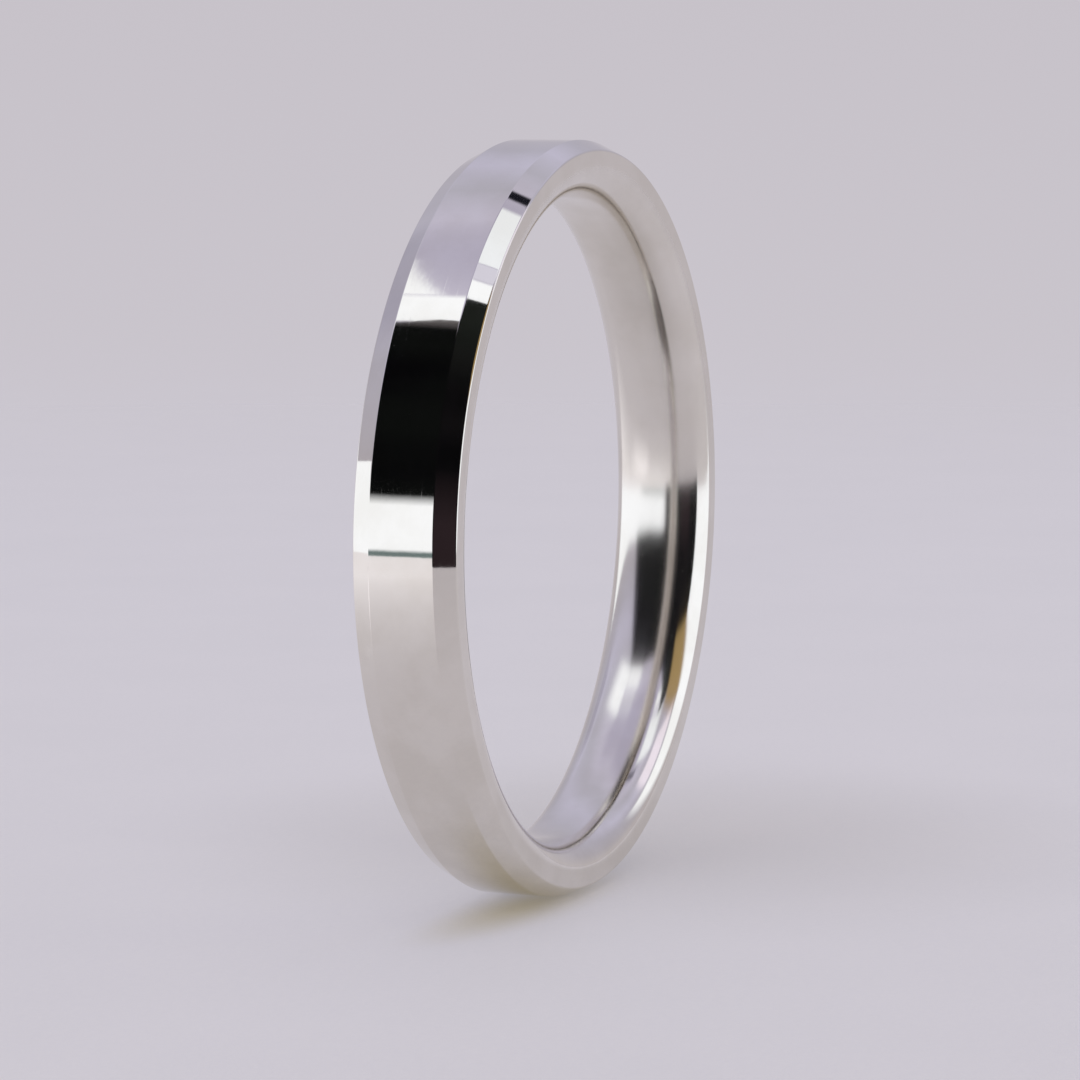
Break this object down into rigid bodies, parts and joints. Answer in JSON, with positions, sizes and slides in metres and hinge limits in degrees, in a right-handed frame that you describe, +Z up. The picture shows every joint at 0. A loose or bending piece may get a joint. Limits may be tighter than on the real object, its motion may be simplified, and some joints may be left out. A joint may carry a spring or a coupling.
{
  "type": "wedding band",
  "caption": "Plain polished band ring with a flat centre field, a bevelled edge on each side, flat side faces and a comfort-fit bore.",
  "frame": {"origin": "centre of the ring, on the bore's axis and midway between the side faces", "axes": "+Y along the finger's axis, +Z up as the ring stands on its rim"},
  "size_m": [0.0216, 0.003, 0.0217],
  "materials": {
    "band_metal": "high mirror polish, white precious metal"
  },
  "bodies": {
    "root": {"band": "band_metal"}
  },
  "joints": []
}
